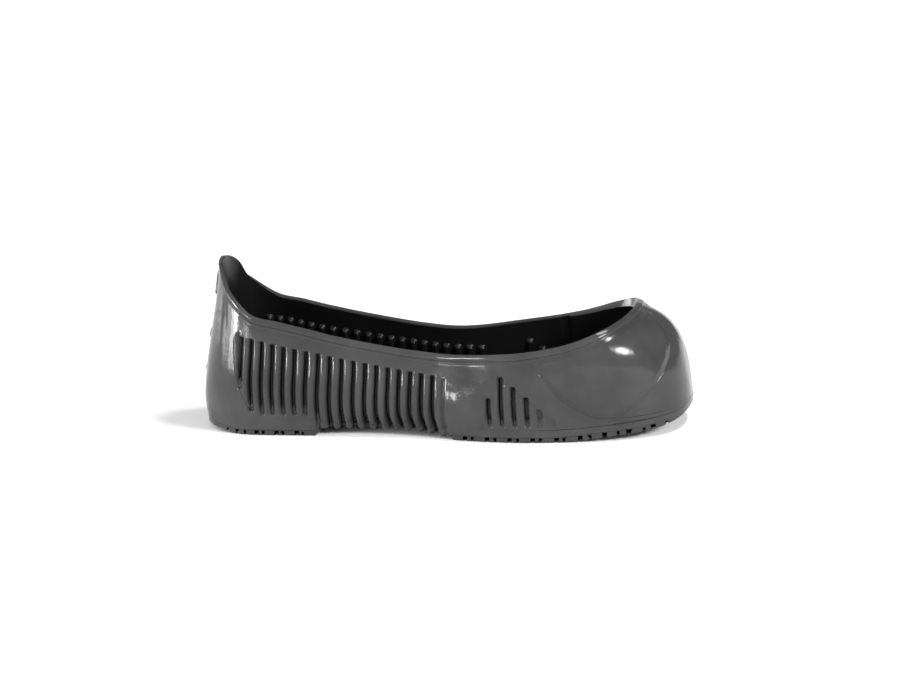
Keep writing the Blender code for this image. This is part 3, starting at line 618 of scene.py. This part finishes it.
def loft(name, grid, close_rows=True):
    """A smooth mesh from a loop of columns of points in millimetres."""
    columns, rows = grid.shape[:2]
    index = np.arange(columns * rows).reshape(columns, rows)
    turned = np.roll(index, -1, axis=0)
    quads = np.stack([index, np.roll(index, -1, axis=1), np.roll(turned, -1, axis=1), turned], -1)
    if not close_rows:
        quads = quads[:, :-1]
    mesh = bpy.data.meshes.new(name)
    mesh.from_pydata((grid.reshape(-1, 3) * MM).tolist(), [], quads.reshape(-1, 4).tolist())
    mesh.shade_smooth()
    obj = bpy.data.objects.new(name, mesh)
    bpy.context.scene.collection.objects.link(obj)
    return obj


def upper_skin():
    """The upper: outer side, and back along the inner side without the two shared columns."""
    (near, near_marks), (far, far_marks) = upper_half(-1), upper_half(1)
    obj = loft("upper_skin", np.concatenate([near, far[-2:0:-1]]))
    for name in near_marks:
        values = np.concatenate([near_marks[name], far_marks[name][-2:0:-1]])
        obj.data.attributes.new(name, "FLOAT", "POINT").data.foreach_set("value", values.ravel())
    return obj


def outsole_half(side):
    """Columns of the outsole's section: from the middle of the floor inside, out under the wall, and
    back under the tread to the middle."""
    ends = [np.linspace(HEEL_S, HEEL_PLANE, 31), np.linspace(TOE_PLANE, TOE_S, 61)]
    s = np.unique(np.concatenate([*ends, np.arange(-126, 79, 2.0), HEEL_FRONT, FORE_BACK]))
    foot, thick, tread = wall("part_z", s), smooth(THICK["s"], THICK["mm"], s), tread_share(s)
    x, y = outline("sole", s)
    x = x - smooth(LEAN["s"], LEAN["back"], s)
    out = outward("sole", s)
    under = underside(s)
    seat = foot - tread * np.maximum(foot - under - TREAD - 0.2, 0.3) - 0.06
    inset = wall("part_in", s) + 3 * (1 - tread)
    side_in = wall("part_in", s) + 0.3 + 4.5 * (1 - tread)
    spine = np.clip(s, HEEL_SPINE, TOE_SPINE)
    sunk = 0.2 * tread * np.where(s > 0, np.minimum(under, 6), 0)
    rows = (
        (None, foot + PLUG), (inset + thick + 1.5, foot + PLUG), (inset + thick + 0.9, foot + PLUG - 0.6),
        (inset + thick + 0.9, seat), (side_in, seat), (side_in + 0.1, seat - 0.15),
        (side_in + 0.15, np.minimum(under + 1.5, seat - 0.3)),
        (side_in + 0.25, np.minimum(under + 0.35, seat - 0.4)), (side_in + 0.5, under),
        (None, under - sunk),
    )
    points = []
    for inward, z in rows:
        if inward is None:
            px, py = spine, np.zeros_like(s)
        else:
            px, py = x - out[:, 0] * inward, np.maximum(y - out[:, 1] * inward, 0)
        points.append(np.stack([px, py * side + smooth(SWING["x"], SWING["y"], px), z], -1))
    return np.stack(points, axis=1)


def inside_channel(place, normal, cuts):
    """Whether a face of the tread is a wall or the top of a channel, and not its rim or the side."""
    x, y, z = (c / MM for c in place)
    for low, high in cuts:
        near = abs(x - (low[0] + high[0]) / 2) < (high[0] - low[0]) / 2 + 0.05
        if near and low[1] - 0.05 < y < high[1] + 0.05 and z < high[2] + 0.05:
            return abs(normal.x) > 0.9 or abs(normal.z) > 0.9 and z > high[2] - 0.1 or abs(normal.y) > 0.9
    return False


def cutter_of(cuts):
    """One mesh of all the boxes to be cut from the sole."""
    mesh = bpy.data.meshes.new("channels")
    points, faces = [], []
    for low, high in cuts:
        base = len(points)
        points += [(x * MM, y * MM, z * MM) for z in (low[2], high[2]) for x, y in (
            (low[0], low[1]), (high[0], low[1]), (high[0], high[1]), (low[0], high[1]))]
        faces += [tuple(base + i for i in face) for face in (
            (3, 2, 1, 0), (4, 5, 6, 7), (0, 1, 5, 4), (1, 2, 6, 5), (2, 3, 7, 6), (3, 0, 4, 7))]
    mesh.from_pydata(points, [], faces)
    obj = bpy.data.objects.new("channels", mesh)
    bpy.context.scene.collection.objects.link(obj)
    return obj


def close_seams(mesh):
    """Joins the points that lie on each other, and turns every face outwards."""
    modelling = bmesh.new()
    modelling.from_mesh(mesh)
    bmesh.ops.remove_doubles(modelling, verts=modelling.verts, dist=1e-6)
    bmesh.ops.recalc_face_normals(modelling, faces=modelling.faces)
    modelling.to_mesh(mesh)
    modelling.free()


def outsole_tread():
    """The sole with its lugs: channels and edge cuts taken out, and every edge rounded a little. Faces
    in the channels take the second material, which paints shade there."""
    near, far = outsole_half(-1), outsole_half(1)
    obj = loft("outsole_tread", np.concatenate([near, far[-2:0:-1]]), close_rows=False)
    close_seams(obj.data)
    cuts = tread_cuts()
    cutter = cutter_of(cuts)
    cut = obj.modifiers.new("channels", "BOOLEAN")
    cut.object, cut.operation, cut.solver = cutter, "DIFFERENCE", "EXACT"
    rounded = obj.modifiers.new("rounded", "BEVEL")
    rounded.width, rounded.segments, rounded.limit_method = 0.3 * MM, 2, "ANGLE"
    rounded.angle_limit = math.radians(40)
    evaluated = obj.evaluated_get(bpy.context.evaluated_depsgraph_get())
    done = bpy.data.meshes.new_from_object(evaluated)
    obj.modifiers.clear()
    obj.data = done
    # Faces in the channels get the painted shade material.
    for face in done.polygons:
        face.material_index = int(inside_channel(face.center, face.normal, cuts))
    bpy.data.objects.remove(cutter)
    return obj


def tread_cuts():
    """Cross channels between the lugs: wide ones right across, and narrow ones at the edges."""
    spans = []
    for x in WIDE_CUTS:
        top = float(smooth(SPRING["x"], SPRING["z"], x)) + TREAD
        middle, half = float(smooth(SWING["x"], SWING["y"], x)), float(half_width("sole", x))
        deep = EDGE_DEEP if x < TOE_CUTS_FROM else EDGE_DEEP_TOE
        core = half - deep - EDGE_WALL
        for low, high in ((-PAST_EDGE, deep - half), (-core, core), (half - deep, PAST_EDGE)):
            spans.append(((x - WIDE / 2, middle + low, BELOW_TREAD), (x + WIDE / 2, middle + high, top)))
    for x in NARROW_CUTS:
        top = float(smooth(SPRING["x"], SPRING["z"], x)) + NARROW_DEEP
        middle = float(smooth(SWING["x"], SWING["y"], x))
        reach = half_width("sole", x) - (NARROW_REACH if x < TOE_CUTS_FROM else EDGE_DEEP_TOE)
        for side in (-1, 1):
            low, high = sorted((middle + side * reach, middle + side * PAST_EDGE))
            spans.append(((x - NARROW / 2, low, BELOW_TREAD), (x + NARROW / 2, high, top)))
    return spans


class Wiring:
    """Short forms for the nodes of one material, or of the world."""

    def __init__(self, owner, shader="Principled BSDF", place="Object"):
        owner.use_nodes = True
        self.owner = owner
        self.nodes, self.links = owner.node_tree.nodes, owner.node_tree.links
        self.shader = self.nodes[shader]
        self.place = self.nodes.new("ShaderNodeTexCoord").outputs[place]

    def put(self, socket, value):
        """Links a socket, or sets it where the value is a number or a colour."""
        if isinstance(value, bpy.types.NodeSocket):
            self.links.new(value, socket)
        else:
            socket.default_value = value

    def noise(self, scale, detail):
        """Noise between 0 and 1."""
        node = self.nodes.new("ShaderNodeTexNoise")
        node.inputs["Scale"].default_value = scale
        node.inputs["Detail"].default_value = detail
        self.links.new(self.place, node.inputs["Vector"])
        return node.outputs["Fac"]

    def measured(self, kind, second=(0, 0, 0)):
        """The length of the place, or how far it lies along a second vector."""
        node = self.nodes.new("ShaderNodeVectorMath")
        node.operation = kind
        node.inputs[1].default_value = second
        self.links.new(self.place, node.inputs[0])
        return node.outputs["Value"]

    def mapped(self, value, start, end, low, high, kind="LINEAR"):
        """Goes from low to high as a value goes from start to end."""
        node = self.nodes.new("ShaderNodeMapRange")
        node.interpolation_type = kind
        node.inputs["From Min"].default_value, node.inputs["From Max"].default_value = start, end
        node.inputs["To Min"].default_value, node.inputs["To Max"].default_value = low, high
        self.links.new(value, node.inputs["Value"])
        return node.outputs["Result"]

    def maths(self, kind, first, second=0.0):
        """One sum, by its kind, of two values."""
        node = self.nodes.new("ShaderNodeMath")
        node.operation = kind
        self.put(node.inputs[0], first)
        self.put(node.inputs[1], second)
        return node.outputs["Value"]

    def mix(self, share, first, second):
        """Mixes two colours or two numbers."""
        node = self.nodes.new("ShaderNodeMix")
        numbers = isinstance(second, float)
        node.data_type = "FLOAT" if numbers else "RGBA"
        own, result = (2, 0) if numbers else (6, 2)
        for at, value in ((0, share), (own, first), (own + 1, second)):
            self.put(node.inputs[at], value)
        return node.outputs[result]

    def mark(self, name):
        """A mark of the mesh's points."""
        node = self.nodes.new("ShaderNodeAttribute")
        node.attribute_name = name
        return node.outputs["Fac"]

    def bump(self, height, depth, under=None):
        """Bump from a height of 0 to 1 that stands for a depth in millimetres."""
        node = self.nodes.new("ShaderNodeBump")
        node.inputs["Distance"].default_value = depth * MM
        self.links.new(height, node.inputs["Height"])
        if under:
            self.links.new(under, node.inputs["Normal"])
        return node.outputs["Normal"]

    def step(self, name, start, end, high):
        """A soft step where a mark goes from start to end."""
        return self.mapped(self.mark(name), start, end, 0.0, high, "SMOOTHSTEP")

    def line(self, name, middle, half, high):
        """A rounded line at one value of a mark."""
        away = self.maths("ABSOLUTE", self.maths("SUBTRACT", self.mark(name), middle))
        return self.mapped(away, half, 0.0, 0.0, high, "SMOOTHSTEP")


def raised_lines(w):
    """Height in millimetres of the upper's fine lines: panel edge, field edge, foxing and slant."""
    panel = w.maths("ADD", w.mapped(w.mark("panel"), *PANEL_SLOPE), w.line("panel", *PANEL_LINE))
    slant = w.maths("MULTIPLY", w.line("slant", *SLANT_LINE), w.mark("slant_share"))
    lines = w.maths("MULTIPLY", panel, w.mark("panel_share"))
    field = w.mapped(w.mark("field"), *FIELD_SLOPE)
    for more in (field, *(w.step("fox", *step) for step in FOXING_STEPS), slant):
        lines = w.maths("ADD", lines, more)
    return lines


def rubber(name, colour, roughness, upper=False):
    """Glossy moulded rubber: fine grain, faint clouds of wear; on the upper also the lines of panel
    and foxing, and painted shade, dull and near-black, in the grooves and inside."""
    w = Wiring(bpy.data.materials.new(name))
    clouds = w.noise(*CLOUDS)
    dusty = tuple(c * 1.3 + 0.003 for c in colour)
    base = w.mix(w.mapped(clouds, 0.38, 0.72, 0.0, 1.0), (*colour, 1), (*dusty, 1))
    gloss = w.mapped(clouds, 0.3, 0.7, roughness - 0.04, roughness + 0.06)
    normal = w.bump(w.noise(*RIPPLE), 0.25)
    if upper:
        # Painted shade: the inside and the deeper parts of the grooves take the near-black colour and a
        # duller gloss.
        dark = w.maths("MAXIMUM", w.mark("inside"), w.step("groove_shade", 0.4, 0.9, 1.0))
        base = w.mix(dark, base, (*INSIDE_SHADE_BLACK, 1))
        gloss = w.mix(dark, gloss, HOLLOW_ROUGH)
        normal = w.bump(raised_lines(w), 1.0, normal)
    normal = w.bump(w.noise(*GRAIN), 0.03, normal)
    w.shader.inputs["IOR"].default_value = RUBBER_IOR
    w.put(w.shader.inputs["Base Color"], base)
    w.put(w.shader.inputs["Roughness"], gloss)
    w.put(w.shader.inputs["Normal"], normal)
    return w.owner


def channel_painted_shade():
    """Painted shade in the channels of the tread: dull black with a little dust."""
    w = Wiring(bpy.data.materials.new("channel_painted_shade"))
    dust = w.mapped(w.noise(*DUST), 0.4, 0.7, 0.0, 1.0)
    w.put(w.shader.inputs["Base Color"], w.mix(dust, (*CHANNEL_SHADE_BLACK, 1), (*CHANNEL_SHADE_DUST, 1)))
    w.shader.inputs["Roughness"].default_value = CHANNEL_ROUGH
    w.shader.inputs["Specular IOR Level"].default_value = 0.0
    return w.owner


def direction(azimuth, elevation):
    """From the shoe: azimuth 0 is the outer side, -Y, and it turns towards +X."""
    a, e = math.radians(azimuth), math.radians(elevation)
    return Vector((math.sin(a) * math.cos(e), -math.cos(a) * math.cos(e), math.sin(e)))


def camera():
    """The photograph's camera, rolled a little, with its frame shifted to where the shoe is."""
    roll = math.radians(ROLL)
    away = direction(AZIMUTH, ELEVATION)
    right = Vector((math.cos(math.radians(AZIMUTH)), math.sin(math.radians(AZIMUTH)), 0))
    up = away.cross(right)
    x_axis = right * math.cos(roll) - up * math.sin(roll)
    y_axis = right * math.sin(roll) + up * math.cos(roll)
    data = bpy.data.cameras.new("camera")
    data.sensor_width = 36.0
    data.lens = PIXELS_PER_M * DISTANCE * data.sensor_width / PHOTO[0]
    data.shift_x = (PHOTO[0] / 2 - AIM_PIXEL[0]) / PHOTO[0]
    data.shift_y = (AIM_PIXEL[1] - PHOTO[1] / 2) / PHOTO[0]
    data.clip_start, data.clip_end = 0.1, 30
    obj = bpy.data.objects.new("camera", data)
    obj.matrix_world = Matrix.Translation(Vector(AIM) + away * DISTANCE) @ Matrix(
        (x_axis, y_axis, away)).transposed().to_4x4()
    bpy.context.scene.collection.objects.link(obj)
    bpy.context.scene.camera = obj


def softbox(name, azimuth, elevation, distance, width, height, power):
    """A rectangular area light that faces the shoe."""
    data = bpy.data.lights.new(name, "AREA")
    data.shape, data.size, data.size_y, data.energy = "RECTANGLE", width, height, power
    obj = bpy.data.objects.new(name, data)
    away = direction(azimuth, elevation)
    obj.location = Vector(AIM) + away * distance
    obj.rotation_euler = away.to_track_quat("Z", "Y").to_euler()
    bpy.context.scene.collection.objects.link(obj)


def white_floor():
    """A wide pale floor. It glows a little far away, so that it stays white up to the horizon."""
    corners = [(x * FLOOR_HALF, y * FLOOR_HALF, 0) for x, y in ((-1, -1), (1, -1), (1, 1), (-1, 1))]
    mesh = bpy.data.meshes.new("floor")
    mesh.from_pydata(corners, [], [(0, 1, 2, 3)])
    floor = bpy.data.objects.new("floor", mesh)
    bpy.context.scene.collection.objects.link(floor)
    w = Wiring(bpy.data.materials.new("floor_white"))
    w.put(w.shader.inputs["Emission Strength"], w.mapped(w.measured("LENGTH"), *FLOOR_GLOW))
    w.shader.inputs["Emission Color"].default_value = (1, 1, 1, 1)
    w.shader.inputs["Base Color"].default_value = (FLOOR_GREY, FLOOR_GREY, FLOOR_GREY, 1)
    w.shader.inputs["Roughness"].default_value = FLOOR_ROUGH
    w.shader.inputs["Specular IOR Level"].default_value = 0.0
    mesh.materials.append(w.owner)


def studio():
    """Floor, world and softboxes."""
    white_floor()
    w = Wiring(bpy.data.worlds.new("studio"), "Background", "Generated")
    w.shader.inputs["Color"].default_value = (1, 1, 1, 1)
    towards = w.measured("DOT_PRODUCT", direction(*DARK_SIDE))
    w.put(w.shader.inputs["Strength"], w.mapped(towards, DARK_FROM, DARK_FULL, SKY, SKY_DARK))
    bpy.context.scene.world = w.owner
    bpy.context.scene.view_settings.view_transform = "Standard"
    for light in LIGHTS:
        softbox(*light)


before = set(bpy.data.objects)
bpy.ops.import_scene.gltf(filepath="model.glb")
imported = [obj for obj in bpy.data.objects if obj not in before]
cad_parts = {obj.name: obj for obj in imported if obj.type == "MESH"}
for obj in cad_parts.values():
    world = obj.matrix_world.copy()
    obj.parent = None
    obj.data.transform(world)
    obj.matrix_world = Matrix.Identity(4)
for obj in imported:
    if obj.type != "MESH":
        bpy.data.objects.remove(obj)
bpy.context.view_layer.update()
upper_rubber = rubber("upper_rubber", UPPER_GREY, UPPER_ROUGH, upper=True)
sole_rubber = rubber("outsole_rubber", SOLE_GREY, SOLE_ROUGH)
upper = upper_skin()
upper.data.materials.append(upper_rubber)
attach(upper, "root")
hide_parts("upper")

tread = outsole_tread()
tread.data.materials.append(sole_rubber)
# The second material paints shade in the tread's channels.
tread.data.materials.append(channel_painted_shade())
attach(tread, "root")
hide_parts("outsole")

camera()
studio()
